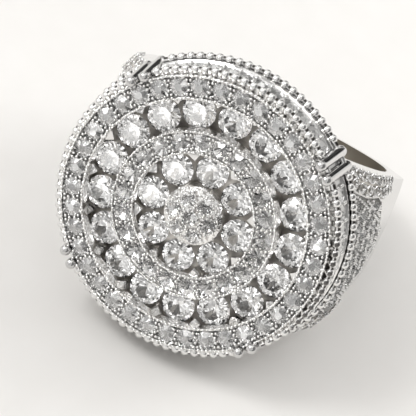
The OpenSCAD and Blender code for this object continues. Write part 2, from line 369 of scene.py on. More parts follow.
@dataclass(frozen=True)
class Number:
    """A number that varies over a surface; arithmetic on it adds Math nodes."""

    bench: "ShaderBench"
    socket: bpy.types.NodeSocket

    def _math(self, operation: str, *values: Scalar) -> "Number":
        """Adds a Math node for an operation on some values, and returns its result."""
        node = self.bench.add("ShaderNodeMath", {"operation": operation}, dict(enumerate(values)))
        return Number(self.bench, node.outputs[0])

    def __add__(self, other: Scalar) -> "Number":
        """Sum."""
        return self._math("ADD", self, other)

    def __radd__(self, other: Scalar) -> "Number":
        """Sum with a plain number first."""
        return self._math("ADD", other, self)

    def __sub__(self, other: Scalar) -> "Number":
        """Difference."""
        return self._math("SUBTRACT", self, other)

    def __rsub__(self, other: Scalar) -> "Number":
        """Difference with a plain number first."""
        return self._math("SUBTRACT", other, self)

    def __mul__(self, other: Scalar) -> "Number":
        """Product."""
        return self._math("MULTIPLY", self, other)

    def __rmul__(self, other: Scalar) -> "Number":
        """Product with a plain number first."""
        return self._math("MULTIPLY", other, self)

    def __abs__(self) -> "Number":
        """Size without its sign."""
        return self._math("ABSOLUTE", self)

    def length(self, other: "Number") -> "Number":
        """Length of the line whose runs are this and another number."""
        return self._math("SQRT", self * self + other * other)

    def larger(self, other: Scalar) -> "Number":
        """The larger of two."""
        return self._math("MAXIMUM", self, other)

    def angle(self, x: Scalar) -> "Number":
        """The angle in radians whose rise is this and whose run is x."""
        return self._math("ARCTAN2", self, x)

    def sine(self) -> "Number":
        """Sine of an angle in radians."""
        return self._math("SINE", self)

    def rise(self, low: float, high: float) -> "Number":
        """Goes softly from 0 to 1.

        Args:
            low: Where it is 0.
            high: Where it is 1, which may also be the lower of the two.

        Returns:
            The softened number.
        """
        node = self.bench.add(
            "ShaderNodeMapRange", {"interpolation_type": "SMOOTHSTEP"},
            {"Value": self, "From Min": min(low, high), "From Max": max(low, high)})
        risen = Number(self.bench, node.outputs["Result"])
        return risen if low < high else 1 - risen

    def within(self, start: float, full: float, fade: float, end: float) -> "Number":
        """Goes softly from 0 to 1 between start and full, and back between fade and end."""
        return self.rise(start, full) * self.rise(end, fade)


class ShaderBench:
    """Builds one node tree."""

    def __init__(self, tree: bpy.types.NodeTree) -> None:
        """Starts from an empty tree."""
        self.tree = tree
        tree.nodes.clear()

    def add(self, kind: str, settings: Optional[dict] = None,
            inputs: Optional[dict] = None) -> bpy.types.Node:
        """Adds a node.

        Args:
            kind: The node's type.
            settings: Its settings, such as an operation.
            inputs: Values or links by the name or the number of the socket.

        Returns:
            The node.
        """
        node = self.tree.nodes.new(kind)
        for name, value in (settings or {}).items():
            setattr(node, name, value)
        for name, value in (inputs or {}).items():
            socket = node.inputs[name]
            if isinstance(value, Number):
                self.tree.links.new(value.socket, socket)
            elif isinstance(value, bpy.types.NodeSocket):
                self.tree.links.new(value, socket)
            else:
                socket.default_value = value
        return node

    def blend(self, amount: Scalar, first: Any, second: Any) -> bpy.types.NodeSocket:
        """Mixes two colours or links of colours, the second one by an amount from 0 to 1."""
        node = self.add("ShaderNodeMix", {"data_type": "RGBA"}, {"Factor": amount, 6: first, 7: second})
        return node.outputs[2]

    def upright(self, ring: RingFrame, height: float = 0.0) -> tuple[Number, Number, Number]:
        """The surface's place in the upright frame.

        Args:
            ring: The ring's frame.
            height: The height in millimetres that counts as zero.

        Returns:
            x, y and z in millimetres.
        """
        here = self.add("ShaderNodeTexCoord").outputs["Object"]
        turned = self.add("ShaderNodeMapping", {"vector_type": "POINT"}, {
            "Vector": here, "Location": (0.0, 0.0, -height), "Rotation": (-ring.turn, 0.0, 0.0),
            "Scale": (1 / MM,) * 3})
        parts = self.add("ShaderNodeSeparateXYZ", None, {0: turned.outputs[0]})
        return tuple(Number(self, part) for part in parts.outputs)

    def noise(self, scale: float, detail: float = 2.0) -> Number:
        """A cloudy pattern over the piece.

        Args:
            scale: Clouds for each metre.
            detail: How many finer layers of clouds lie in them.

        Returns:
            A number from 0 to 1.
        """
        here = self.add("ShaderNodeTexCoord").outputs["Object"]
        node = self.add("ShaderNodeTexNoise", None, {"Vector": here, "Scale": scale, "Detail": detail})
        return Number(self, node.outputs[0])

    def surface(self, inputs: dict) -> None:
        """Ends a material with one Principled shader, given its sockets' values and links."""
        shader = self.add("ShaderNodeBsdfPrincipled", None, inputs)
        self.add("ShaderNodeOutputMaterial", None, {"Surface": shader.outputs[0]})


def new_material(name: str) -> tuple[bpy.types.Material, ShaderBench]:
    """Makes an empty material.

    Args:
        name: Its name.

    Returns:
        The material and the bench that builds it.
    """
    material = bpy.data.materials.new(name)
    material.use_nodes = True
    return material, ShaderBench(material.node_tree)


Marks = list[tuple[Number, tuple]]


@dataclass(frozen=True)
class MetalFinish:
    """High-polish rhodium plate with faint smears and hairlines.

    Each kind of metal adds its marks. The two limits of a mark say where it is absent and where
    it is full, four say where it starts, is full, fades and ends; lengths are in millimetres.
    """

    ring: RingFrame
    head: HeadSizes
    band: ShoulderSizes
    name: str
    tone: tuple
    # painted shade for recesses: channel floors and facets; the grains also use it for their random
    # drifts
    recess_shade_and_drift: tuple = (0.67, 0.64, 0.605, 1.0)
    # painted shade and reflection: dark between beads, in the seam, at the foot, in dashes and on bead
    # tops
    shade_and_reflection_black: tuple = (0.06, 0.055, 0.05, 1.0)
    roughness: float = 0.07
    worn: float = 0.25
    smear: float = 0.10
    smear_scale: float = 900.0
    smear_clouds: tuple = (0.45, 0.75)
    hair_scale: float = 5200.0
    hair_detail: float = 4.0
    hair_depth: float = 0.05
    bump: float = 0.5
    bump_height: float = 0.05
    # painted shade: from where on both sides the seam and the belt's foot are dark
    shaded_sides: tuple = (7.2, 8.4)
    # painted shade and reflection: from where on the right side the dashes and bead tops are dark
    painted_dark_side: tuple = (9.8, 10.2)
    prong_side: float = 45.0
    prong_room: float = 2.6
    prong_edge: float = 0.2
    flank_out: tuple = (0.0, 0.04, 0.23, 0.27)
    flank_up: tuple = (-0.54, -0.48, 0.18, 0.22)

    def marks(self, bench: ShaderBench) -> Marks:
        """Pairs of a mask and the colour painted there; plain metal has none."""
        return []

    def engraved(self, bench: ShaderBench, height: Number) -> tuple[Any, Number]:
        """Colour and height pattern of the metal under its marks; plain metal isn't engraved."""
        return self.tone, height

    def material(self) -> bpy.types.Material:
        """Builds the metal.

        Returns:
            The material, tinted and a little duller at its marks.
        """
        material, bench = new_material(self.name)
        hairs = bench.noise(self.hair_scale, self.hair_detail) * self.hair_depth
        colour, height = self.engraved(bench, hairs)
        roughness = self.roughness + bench.noise(self.smear_scale).rise(*self.smear_clouds) * self.smear
        for mask, tint in self.marks(bench):
            colour = bench.blend(mask, colour, tint)
            roughness = roughness + mask * self.worn
        bump = bench.add("ShaderNodeBump", None, {
            "Strength": self.bump, "Distance": self.bump_height * MM, "Height": height})
        bench.surface({"Base Color": colour, "Metallic": 1.0, "Roughness": roughness,
                       "Normal": bump.outputs[0]})
        return material

    def _off_prongs(self, x: Number, y: Number) -> Number:
        """Masks all that lies beside the prongs.

        Args:
            x: Place along the shoulders from the head's axis.
            y: Place along the finger.

        Returns:
            The mask.
        """
        turn = abs(y).angle(abs(x)) * math.degrees(1.0)
        reach = self.head.prong_half_angle + self.prong_room
        return abs(turn - self.prong_side).rise(reach - self.prong_edge, reach + self.prong_edge)

    def _shade_between_beads(self, x: Number, y: Number, z: Number, ring_r: float) -> Number:
        """Masks the outer flank of a wire that carries beads, for the shade painted between them.

        Args:
            x: Place along the shoulders from the head's axis.
            y: Place along the finger.
            z: Height above the wire's middle.
            ring_r: Radius of the wire's circle.

        Returns:
            The mask.
        """
        flank = (x.length(y) - ring_r).within(*self.flank_out) * z.within(*self.flank_up)
        return flank * self._off_prongs(x, y)


@dataclass(frozen=True)
class SettingFinish(MetalFinish):
    """The setting's metal with painted shade, brown in its channels and dark in its gaps, and cut into
    fine grain on its rims and boss.
    """

    name: str = "setting_metal"
    tone: tuple = (0.95, 0.945, 0.935, 1.0)
    # colour of the engraved pits, and painted shade in the rim's gaps
    pit_and_gap_shade: tuple = (0.5, 0.485, 0.465, 1.0)
    belt: tuple = (0.68, 0.678, 0.672, 1.0)
    pit_scale: float = 5200.0
    pit_depth: float = 1.5
    pits: tuple = (0.5, 0.44)
    rim_groove: tuple = (0.78, 0.75)
    halo_groove: tuple = (0.76, 0.73)
    grain_up: tuple = (-0.3, -0.2)
    grain_out: tuple = (10.56, 10.53)
    channel_down: tuple = (-0.05, -0.5)
    channel_out: tuple = (9.2, 9.0)
    gap_width: tuple = (-0.86, -0.98)
    gap_reach: tuple = (0.8, 0.72)
    gap_down: tuple = (-0.04, -0.12)
    belt_face: tuple = (0.1, 0.04)
    belt_foot: tuple = (0.05, 0.12)
    belt_head: tuple = (0.0, -0.05)
    foot_down: tuple = (-0.08, -0.12)
    foot_out: tuple = (10.0, 10.2)
    dash_out: tuple = (-0.35, -0.31, -0.04, 0.0)
    dash_up: tuple = (0.5, 0.4)
    dash_count: int = 74
    dash_length: tuple = (-0.6, -0.3)

    def engraved(self, bench: ShaderBench, height: Number) -> tuple[Any, Number]:
        """Cuts fine pits into the rims' tops and the boss, but not into the stones' grooves.

        Args:
            bench: The metal's bench.
            height: The metal's height pattern.

        Returns:
            The metal's colour and its height pattern with the pits.
        """
        head = self.head
        x, y, z = bench.upright(self.ring, head.head_z)
        r = x.length(y)
        grooves = abs(r - head.rim.ring_r).rise(*self.rim_groove).larger(
            abs(r - head.halo.ring_r).rise(*self.halo_groove))
        cut = z.rise(*self.grain_up) * r.rise(*self.grain_out) * (1 - grooves)
        grain = bench.noise(self.pit_scale)
        colour = bench.blend(cut * grain.rise(*self.pits), self.tone, self.pit_and_gap_shade)
        return colour, height + grain * cut * self.pit_depth

    def _gap_shade(self, r: Number, turn: Number, z: Number) -> Number:
        """Masks the gaps between the stones of the outer rim's groove, where shade is painted.

        Args:
            r: Distance from the head's axis.
            turn: Angle round it.
            z: Height above the upper edge.

        Returns:
            The mask.
        """
        rim = self.head.rim
        between = (turn * rim.count + (1 - rim.count) * math.pi / 2).sine()
        return (between.rise(*self.gap_width) * abs(r - rim.ring_r).rise(*self.gap_reach)
                * (z - rim.top).rise(*self.gap_down))

    def marks(self, bench: ShaderBench) -> Marks:
        """Paints shade into the channels, the rim's gaps, the foot, dashes at the right and the edge
        beside the beads, and marks the belt.

        Args:
            bench: The metal's bench.

        Returns:
            Pairs of a mask and the colour painted there; all but the belt's are painted shade.
        """
        head = self.head
        x, y, z = bench.upright(self.ring, head.head_z)
        r, turn = x.length(y), y.angle(x)
        # painted shade: the channel floors darker and browner, where shade falls
        channels = z.rise(*self.channel_down) * r.rise(*self.channel_out)
        middle, facing = head.belt()
        off_belt = (r - middle.x) * facing.x + (z - middle.y) * facing.y
        belt = (abs(off_belt).rise(*self.belt_face) * (z - head.belt_low).rise(*self.belt_foot)
                * (z - head.belt_high).rise(*self.belt_head))
        # painted shade: dark at the belt's foot, on both sides
        foot = ((z - head.belt_low).rise(*self.foot_down) * r.rise(*self.foot_out)
                * abs(x).rise(*self.shaded_sides))
        # painted shade: dark dashes beside the upper beads, on the right side only
        painted_dashes = ((r - head.edge_r).within(*self.dash_out) * z.rise(*self.dash_up)
                  * x.rise(*self.painted_dark_side) * (turn * self.dash_count).sine().rise(*self.dash_length))
        # painted shade: dark between the beads, at the foot and in the dashes
        dark = self._shade_between_beads(x, y, z, head.edge_r).larger(foot).larger(painted_dashes)
        return [(channels, self.recess_shade_and_drift), (belt, self.belt), (self._gap_shade(r, turn, z), self.pit_and_gap_shade),
                (dark, self.shade_and_reflection_black)]


@dataclass(frozen=True)
class ShankFinish(MetalFinish):
    """The shank's metal, toned darker than the head's as painted shade, bright under the panels' stones,
    with shade painted brown in the hole and dark in the seam.
    """

    name: str = "shank_metal"
    # painted shade: the shank's whole tone set below the head's metal, against the bright floor it
    # mirrors
    tone: tuple = (0.65, 0.645, 0.64, 1.0)
    tray: tuple = (0.94, 0.93, 0.92, 1.0)
    # painted shade: the colour of the finger hole's inside
    bore_shade: tuple = (0.50, 0.465, 0.41, 1.0)
    seam_up: tuple = (-0.04, -0.01, 0.1, 0.3)
    seam_out: tuple = (-0.2, -0.25)
    bore_out: tuple = (0.05, 0.02)
    panel_out: tuple = (10.9, 11.0, 11.82, 11.87)
    panel_edge: tuple = (0.04, 0.08)
    panel_foot: tuple = (-0.1, 0.0)
    facet_face: tuple = (0.06, 0.02)
    facet_out: tuple = (11.86, 11.8)
    facet_side: tuple = (0.14, 0.2)
    facet_foot: tuple = (0.1, 0.2)

    def marks(self, bench: ShaderBench) -> Marks:
        """Marks the panels, and paints shade into the stone-set facets, the seam, the wire's flank and
        the finger hole.

        Args:
            bench: The metal's bench.

        Returns:
            Pairs of a mask and the colour painted there; all but the panels' are painted shade.
        """
        band, head = self.band, self.head
        x, y, z = bench.upright(self.ring)
        # painted shade: dark on the wire's flank between the beads
        wire = self._shade_between_beads(x, y, z - (head.head_z - head.tier_wire_drop), head.tier_r)
        over_tier = z - (head.head_z - head.setting_h - head.seam_gap)
        # painted shade: the seam dark at the sides only
        seam = (over_tier.within(*self.seam_up) * (x.length(y) - head.tier_r).rise(*self.seam_out)
                * self._off_prongs(x, y) * abs(x).rise(*self.shaded_sides))
        # painted shade: the finger hole brown and darker
        bore_shade = (x.length(z) - band.hole_r).rise(*self.bore_out)
        x, y = abs(x), abs(y)
        round_r = x.length(z - band.outer_z)
        off_facet = (band.facet_x - x - band.facet_in * y
                     - band.facet_rise * z.larger(band.facet_turn))
        panel = (round_r.within(*self.panel_out) * off_facet.rise(*self.panel_edge)
                 * (z - band.tray_vee * y - band.tray_low).rise(*self.panel_foot))
        side_room = band.half_w + band.flare * z - y
        # painted shade: the facets beside the panels darker where their stones sit
        facet = (abs(off_facet).rise(*self.facet_face) * round_r.rise(*self.facet_out)
                 * side_room.rise(*self.facet_side) * (z - band.facet_end).rise(*self.facet_foot))
        return [(panel, self.tray), (facet, self.recess_shade_and_drift), (seam.larger(wire), self.shade_and_reflection_black),
                (bore_shade, self.bore_shade)]


@dataclass(frozen=True)
class GrainFinish(MetalFinish):
    """The metal of the grains between the stones, less sharply polished and with darker drifts."""

    name: str = "grain_metal"
    tone: tuple = (0.94, 0.935, 0.925, 1.0)
    roughness: float = 0.16
    drift_scale: float = 1500.0
    drift: tuple = (0.6, 0.8)
    drift_share: float = 0.4

    def marks(self, bench: ShaderBench) -> Marks:
        """Marks the drifts."""
        return [(bench.noise(self.drift_scale).rise(*self.drift) * self.drift_share, self.recess_shade_and_drift)]


@dataclass(frozen=True)
class BeadFinish(GrainFinish):
    """The metal of the beaded edges, bright, with a dark reflection painted on the tops of the upper
    beads at the right.
    """

    name: str = "bead_metal"
    tone: tuple = (0.84, 0.835, 0.825, 1.0)
    roughness: float = 0.07
    # painted reflection: where the dark tops start, and how dark they are
    painted_reflection_up: tuple = (0.315, 0.335)
    painted_reflection_share: float = 0.85

    def marks(self, bench: ShaderBench) -> Marks:
        """Marks the drifts and the dark reflection painted on the tops.

        Args:
            bench: The metal's bench.

        Returns:
            Pairs of a mask and the colour painted there.
        """
        head = self.head
        x, y, z = bench.upright(self.ring, head.head_z)
        lean = math.radians(head.bead_lean)
        up = (x.length(y) - head.edge_r) * math.sin(lean) + z * math.cos(lean)
        # painted reflection: dark tops on the beads at the right only
        tops = up.rise(*self.painted_reflection_up) * x.rise(*self.painted_dark_side) * self.painted_reflection_share
        return super().marks(bench) + [(tops, self.shade_and_reflection_black)]


@dataclass(frozen=True)
class StoneFinish:
    """Clear cut stone with a faint cloudiness."""

    name: str
    colour: tuple = (1.0, 1.0, 1.0, 1.0)
    cloud: tuple = (0.955, 0.955, 0.95, 1.0)
    cloud_edge: tuple = (0.4, 0.7)
    haze: float = 0.02
    haze_edge: tuple = (0.55, 0.8)
    ior: float = 2.05
    mirror: float = 0.0
    scale: float = 600.0

    def material(self) -> bpy.types.Material:
        """Builds the stone's material.

        Returns:
            The material, clear with faint clouds.
        """
        material, bench = new_material(self.name)
        drift = bench.noise(self.scale)
        bench.surface({
            "Base Color": bench.blend(drift.rise(*self.cloud_edge), self.colour, self.cloud),
            "Roughness": drift.rise(*self.haze_edge) * self.haze, "IOR": self.ior,
            "Metallic": self.mirror, "Transmission Weight": 1.0})
        return material


@dataclass(frozen=True)
class StoneCutter:
    """Grinds a small round stone from a blank, facet by facet; its heights are shares of its width."""

    mains: int = 8
    table_share: float = 0.34
    crown_share: float = 0.2
    girdle_share: float = 0.03
    pavilion_share: float = 0.47
    star_slope: float = 0.62
    half_slope: float = 1.17
    lower_slope: float = 1.035
    merge: float = 0.0005
    wobble: float = 4.0
    least_wobble: float = 0.3

    def seated(self, places: Sequence[Matrix], seed: int) -> list[Matrix]:
        """Turns and tilts each stone a little, as hand-set stones sit.

        Args:
            places: The stones' places.
            seed: Seed of the turns.

        Returns:
            The turned places.
        """
        dice = random.Random(seed)
        moved = []
        for place in places:
            spin = Matrix.Rotation(dice.uniform(0.0, math.tau / self.mains), 4, "Z")
            axis = Vector((dice.uniform(-1, 1), dice.uniform(-1, 1), 0.0))
            tilt = math.radians(dice.uniform(self.least_wobble, 1.0) * self.wobble)
            moved.append(place @ Matrix.Rotation(tilt, 4, axis) @ spin)
        return moved

    def cut(self, diameter: float) -> bpy.types.Object:
        """Cuts one stone with its girdle's top at the origin's height.

        Args:
            diameter: The stone's diameter in millimetres.

        Returns:
            The stone round the origin, its table up.
        """
        d = diameter * MM
        r = d / 2
        girdle = self.girdle_share * d
        table = self.crown_share * d
        crown = math.atan2(table, r * (1 - self.table_share))
        pavilion = math.atan2(self.pavilion_share * d - girdle, r)
        step = math.tau / self.mains
        Bench.clear()
        bpy.ops.mesh.primitive_cylinder_add(vertices=2 * self.mains, radius=r, depth=2 * d)
        stone = Bench.open()
        bpy.ops.transform.rotate(value=step / 4, orient_axis="Z", center_override=(0.0, 0.0, 0.0))
        for k in range(self.mains):
            self._grind(k * step, crown, r, 0.0)
            self._grind(k * step, -pavilion, r, -girdle)
        self._grind(0.0, 0.0, 0.0, table)
        table_edge = r * self.table_share * math.cos(step / 2)
        for k in range(self.mains):
            self._grind((k + 0.5) * step, crown * self.star_slope, table_edge, table)
        for k in range(2 * self.mains):
            turn = (k + 0.5) * step / 2
            self._grind(turn, crown * self.half_slope, r, 0.0)
            self._grind(turn, -pavilion * self.lower_slope, r, -girdle)
        bpy.ops.mesh.select_all(action="SELECT")
        bpy.ops.mesh.remove_doubles(threshold=self.merge * MM)
        bpy.ops.mesh.normals_make_consistent(inside=False)
        bpy.ops.object.mode_set(mode="OBJECT")
        return stone

    @staticmethod
    def _grind(turn: float, slope: float, reach: float, height: float) -> None:
        """Cuts off all that lies outside one facet.

        Args:
            turn: The facet's direction round the axis.
            slope: Its slope from level, negative for one that faces down.
            reach: Distance from the axis of a point on it.
            height: That point's height.
        """
        rise = math.copysign(math.cos(slope), slope if slope else 1.0)
        normal = polar(turn, abs(math.sin(slope)), rise)
        bpy.ops.mesh.select_all(action="SELECT")
        bpy.ops.mesh.bisect(plane_co=polar(turn, reach, height), plane_no=normal,
                            use_fill=True, clear_outer=True)


@dataclass(frozen=True)
class GrainMaker:
    """Models the small metal balls: milgrain beads and the grains that hold stones."""

    bead_end: float = 0.6
    bead_foot: float = 0.85
    bead_top: float = 0.4
    dot_sink: float = 0.6
    stem_from: float = 0.5
    stem_w: float = 1.25

    def bead(self, size: Sequence[float]) -> bpy.types.Object:
        """An oval bead with a flattened foot and a shallow top.

        Args:
            size: Its half sizes along X, Y and Z in millimetres.

        Returns:
            The bead round the origin.
        """
        end = self.bead_end * size[2] * MM
        Bench.clear()
        bpy.ops.mesh.primitive_ico_sphere_add(subdivisions=2, radius=MM)
        bead = Bench.open()
        bpy.ops.transform.resize(value=size)
        Bench.select_where(bead, lambda point: point.z < -end)
        bpy.ops.transform.resize(value=(1.0, 1.0, self.bead_foot))
        Bench.select_where(bead, lambda point: point.z > end)
        bpy.ops.transform.resize(value=(1.0, 1.0, self.bead_top))
        Bench.close_smooth()
        return bead

    def dot(self, radius: float) -> bpy.types.Object:
        """A half-sunk round dot of few faces, for the rows that repeat it hundreds of times.

        Args:
            radius: Its radius in millimetres.

        Returns:
            The dot, its ball's middle at the origin.
        """
        Bench.clear()
        bpy.ops.mesh.primitive_uv_sphere_add(segments=7, ring_count=5, radius=radius * MM)
        dot = Bench.open()
        bpy.ops.mesh.bisect(plane_co=(0.0, 0.0, -self.dot_sink * radius * MM),
                            plane_no=(0.0, 0.0, -1.0), use_fill=True, clear_outer=True)
        bpy.ops.mesh.select_all(action="SELECT")
        bpy.ops.mesh.normals_make_consistent(inside=False)
        Bench.close_smooth()
        return dot

    def grain(self, radius: float, stem: float) -> bpy.types.Object:
        """A ball on a stem that runs down into the metal.

        Args:
            radius: The ball's radius in millimetres.
            stem: How far the stem goes down.

        Returns:
            The grain, its ball's middle at the origin.
        """
        Bench.clear()
        bpy.ops.mesh.primitive_uv_sphere_add(segments=8, ring_count=5, radius=radius * MM)
        grain = Bench.open()
        Bench.select_where(grain, lambda point: point.z < -self.stem_from * radius * MM)
        bpy.ops.transform.translate(value=(0.0, 0.0, -stem * MM))
        bpy.ops.transform.resize(value=(self.stem_w, self.stem_w, 1.0))
        Bench.close_smooth()
        return grain


class StoneRow(NamedTuple):
    """The small stones that replace one node: their piece, the node, their width and places."""

    name: str
    node: str
    stone_d: float
    places: list[Matrix]


@dataclass
class HeadStones:
    """The small stones of the head, cut anew at the places that the solids give them."""

    ring: RingFrame
    head: HeadSizes
    cutter: StoneCutter = StoneCutter()

    def circle(self, rim: Rim) -> list[Matrix]:
        """Places of a rim's stones, tables up."""
        height = self.head.head_z + (rim.top - self.head.pave_sink)
        return [self.ring.on_circle(self.head.stone_angle(i, rim.count), rim.ring_r, height)
                for i in range(rim.count)]

    def on_boss(self, circles: Sequence[BossCircle]) -> list[Matrix]:
        """Places on the domed boss.

        Args:
            circles: The circles that they stand on.

        Returns:
            A matrix for each place.
        """
        head = self.head
        centre = head.head_z + head.boss_top - head.boss_round
        places = []
        for circle in circles:
            tilt = math.asin(circle.ring_r / head.boss_round)
            reach = head.boss_round + circle.lift
            for i in range(circle.count):
                a = (i + circle.shift) * math.tau / circle.count
                point = polar(a, reach * math.sin(tilt), centre + reach * math.cos(tilt))
                up = polar(a, math.sin(tilt), math.cos(tilt))
                places.append(self.ring.place(point, up, polar(a, 1.0)))
        return places

    def rows(self) -> tuple[StoneRow, ...]:
        """The head's two rims and its cluster."""
        head = self.head
        return (StoneRow("rim_stones", "rim_pave", head.rim.stone_d, self.circle(head.rim)),
                StoneRow("halo_stones", "halo_pave", head.halo.stone_d, self.circle(head.halo)),
                StoneRow("cluster_stones", "centre_cluster", head.cluster_d, self.on_boss(head.cluster)))

    def build(self, small: Dress, large: bpy.types.Material) -> None:
        """Cuts and dresses the small stones, and coats the large ones.

        Args:
            small: The small stones' dress.
            large: The large stones' material.
        """
        for seed, row in enumerate(self.rows()):
            Bench.repeat(row.name, self.cutter.cut(row.stone_d), self.cutter.seated(row.places, seed),
                         small, row.node)
        for name, node in frame["nodes"].items():
            if name.startswith(("outer_stone", "inner_stone")):
                Bench.coat(node, large)


@dataclass
class HeadGrains:
    """The grains between the small stones of the head, and its two beaded edges."""

    ring: RingFrame
    head: HeadSizes
    stones: HeadStones
    maker: GrainMaker = GrainMaker()
    grain_r: float = 0.12
    grain_stem: float = 0.2
    corner_spots: tuple = ((-0.37, -0.15), (-0.37, 0.15), (-0.15, 0.0), (0.15, 0.0), (0.37, -0.15),
                           (0.37, 0.15))
    boss_circles: tuple = (BossCircle(0.8, 6, 0.08, 0.5), BossCircle(1.0, 12, 0.1),
                           BossCircle(1.75, 6, 0.06, 0.5), BossCircle(1.95, 12, 0.03, 0.5))
    claw_r: float = 0.1
    claw_counts: tuple = (8, 8, 12)
    claw_reach: tuple = (0.93, 1.0)
    claw_scale: tuple = (0.75, 1.15)
    claw_lift: float = 0.05
    dot_r: float = 0.14
    dot_pitch: float = 0.33
    dot_drift: float = 0.07
    dot_scale: tuple = (0.6, 1.15)
    rim_lips: tuple = (8.81, 10.47)
    halo_lips: tuple = (6.37, 4.77)
    boss_lip: tuple = (2.15, 0.42)
    bead_size: tuple = (0.38, 0.37, 0.38)
    bead_margin: float = 2.6
    upper_count: int = 90
    lower_count: int = 94

    def corners(self, rim: Rim) -> list[Matrix]:
        """Grains in every gap of a rim's stones: two to each corner and two between.

        Args:
            rim: The rim.

        Returns:
            A matrix for each grain.
        """
        places = []
        for i in range(rim.count):
            for share, spread in self.corner_spots:
                r = rim.ring_r + share * rim.stone_d
                a = self.head.stone_angle(i + 0.5, rim.count) + spread / r
                places.append(self.ring.on_circle(a, r, self.head.head_z + rim.top))
        return places

    def claws(self, row: StoneRow, count: int, seed: int) -> list[Matrix]:
        """Small claws round the girdle of every stone.

        Args:
            row: The stones.
            count: Number of claws round a stone.
            seed: Seed of the claws' turns and sizes.

        Returns:
            A matrix for each claw.
        """
        dice = random.Random(seed)
        places = []
        for stone in row.places:
            shift = dice.uniform(0.0, 1.0)
            for k in range(count):
                reach = row.stone_d / 2 * dice.uniform(*self.claw_reach) * MM
                spot = polar((k + shift) * math.tau / count, reach, self.claw_lift * MM)
                size = Matrix.Scale(dice.uniform(*self.claw_scale), 4)
                places.append(stone @ Matrix.Translation(spot) @ size)
        return places

    def chain(self, ring_r: float, top: float, seed: int) -> list[Matrix]:
        """A chain of dots round the head, each a little larger or smaller than the next.

        Args:
            ring_r: The chain's radius.
            top: Height of the dots above the upper edge.
            seed: Seed of their sizes.

        Returns:
            A matrix for each dot.
        """
        dice = random.Random(seed)
        count = round(math.tau * ring_r / self.dot_pitch)
        places = []
        for i in range(count):
            r = ring_r + dice.uniform(-self.dot_drift, self.dot_drift)
            place = self.ring.on_circle(i * math.tau / count, r, self.head.head_z + top)
            places.append(place @ Matrix.Scale(dice.uniform(*self.dot_scale), 4))
        return places

    def beads(self, count: int, ring_r: float, z: float) -> list[Matrix]:
        """Places of the beads of an edge, which lean outwards and stop at the prongs.

        Args:
            count: Beads in a whole circle.
            ring_r: The circle's radius.
            z: Its height above the finger's centre.

        Returns:
            A matrix for each bead.
        """
        lean = math.radians(self.head.bead_lean)
        places = []
        for i in range(count):
            a = i * math.tau / count
            if not self.head.near_prong(a, self.bead_margin):
                up = polar(a, math.sin(lean), math.cos(lean))
                places.append(self.ring.place(polar(a, ring_r, z), up, polar(a, 1.0)))
        return places

    def build(self, grain: Dress, bead: Dress) -> None:
        """Makes and dresses the grains and the beaded edges.

        Args:
            grain: The grains' dress.
            bead: The beads' dress.
        """
        head = self.head
        grains = self.corners(head.rim) + self.corners(head.halo) + self.stones.on_boss(self.boss_circles)
        Bench.repeat("head_grains", self.maker.grain(self.grain_r, self.grain_stem), grains, grain)
        claws = [claw for seed, (row, count) in enumerate(zip(self.stones.rows(), self.claw_counts))
                 for claw in self.claws(row, count, seed)]
        Bench.repeat("small_claws", self.maker.dot(self.claw_r), claws, grain)
        lips = ([(r, head.rim.top) for r in self.rim_lips] + [(r, head.halo.top) for r in self.halo_lips]
                + [self.boss_lip])
        dots = [dot for seed, (r, top) in enumerate(lips) for dot in self.chain(r, top, seed)]
        Bench.repeat("rim_dots", self.maker.dot(self.dot_r), dots, grain)
        for name, count, ring_r, drop in (
                ("upper_beaded_edge", self.upper_count, head.edge_r, 0.0),
                ("lower_beaded_edge", self.lower_count, head.tier_r, head.tier_wire_drop)):
            places = self.beads(count, ring_r, head.head_z - drop)
            Bench.repeat(name, self.maker.bead(self.bead_size), places, bead)


@dataclass
class ChannelWedges:
    """The small seats that fill the corners between the large stones, at the channels' outer walls."""

    ring: RingFrame
    head: HeadSizes
    length: float = 0.65
    width: float = 1.2
    depth: float = 0.8
    bevel: float = 0.05
    crease: float = 28.0
    outer_at: tuple = (8.68, -0.55)
    inner_at: tuple = (4.55, -0.05)
    tip: float = 16.0
    outer_seed: int = 3
    inner_seed: int = 4

    def wedge(self) -> bpy.types.Object:
        """Models one seat.

        Returns:
            A three-cornered block with rounded edges, its point along Y, round the origin.
        """
        radius = self.length / 1.5
        Bench.clear()
        bpy.ops.mesh.primitive_cylinder_add(vertices=3, radius=radius * MM, depth=self.depth * MM)
        wedge = Bench.open()
        bpy.ops.transform.resize(value=(self.width / (radius * math.sqrt(3.0)), 1.0, 1.0))
        bpy.ops.mesh.bevel(offset=self.bevel * MM, segments=2, affect="EDGES")
        bpy.ops.object.mode_set(mode="OBJECT")
        bpy.ops.object.shade_smooth_by_angle(angle=math.radians(self.crease))
        return wedge

    def places(self, count: int, at: Sequence[float], seed: int) -> list[Matrix]:
        """Places between the stones of a channel, each a little tipped.

        Args:
            count: Number of stones in the channel.
            at: Distance of the wedges' middles from the head's axis, and their height.
            seed: Seed of the tips.

        Returns:
            A matrix for each wedge.
        """
        dice = random.Random(seed)
        places = []
        for i in range(count):
            a = self.head.stone_angle(i + 0.5, count)
            point = polar(a, at[0], self.head.head_z + at[1])
            place = self.ring.place(point, UP, polar(a + math.tau / 4, 1.0))
            for axis in "XY":
                tip = math.radians(dice.uniform(-self.tip, self.tip))
                place = place @ Matrix.Rotation(tip, 4, axis)
            places.append(place)
        return places

    def build(self, metal: Dress) -> None:
        """Makes and dresses the wedges of both channels.

        Args:
            metal: Their dress.
        """
        outer = self.places(self.head.outer_count, self.outer_at, self.outer_seed)
        inner = self.places(self.head.inner_count, self.inner_at, self.inner_seed)
        Bench.repeat("channel_wedges", self.wedge(), outer + inner, metal)


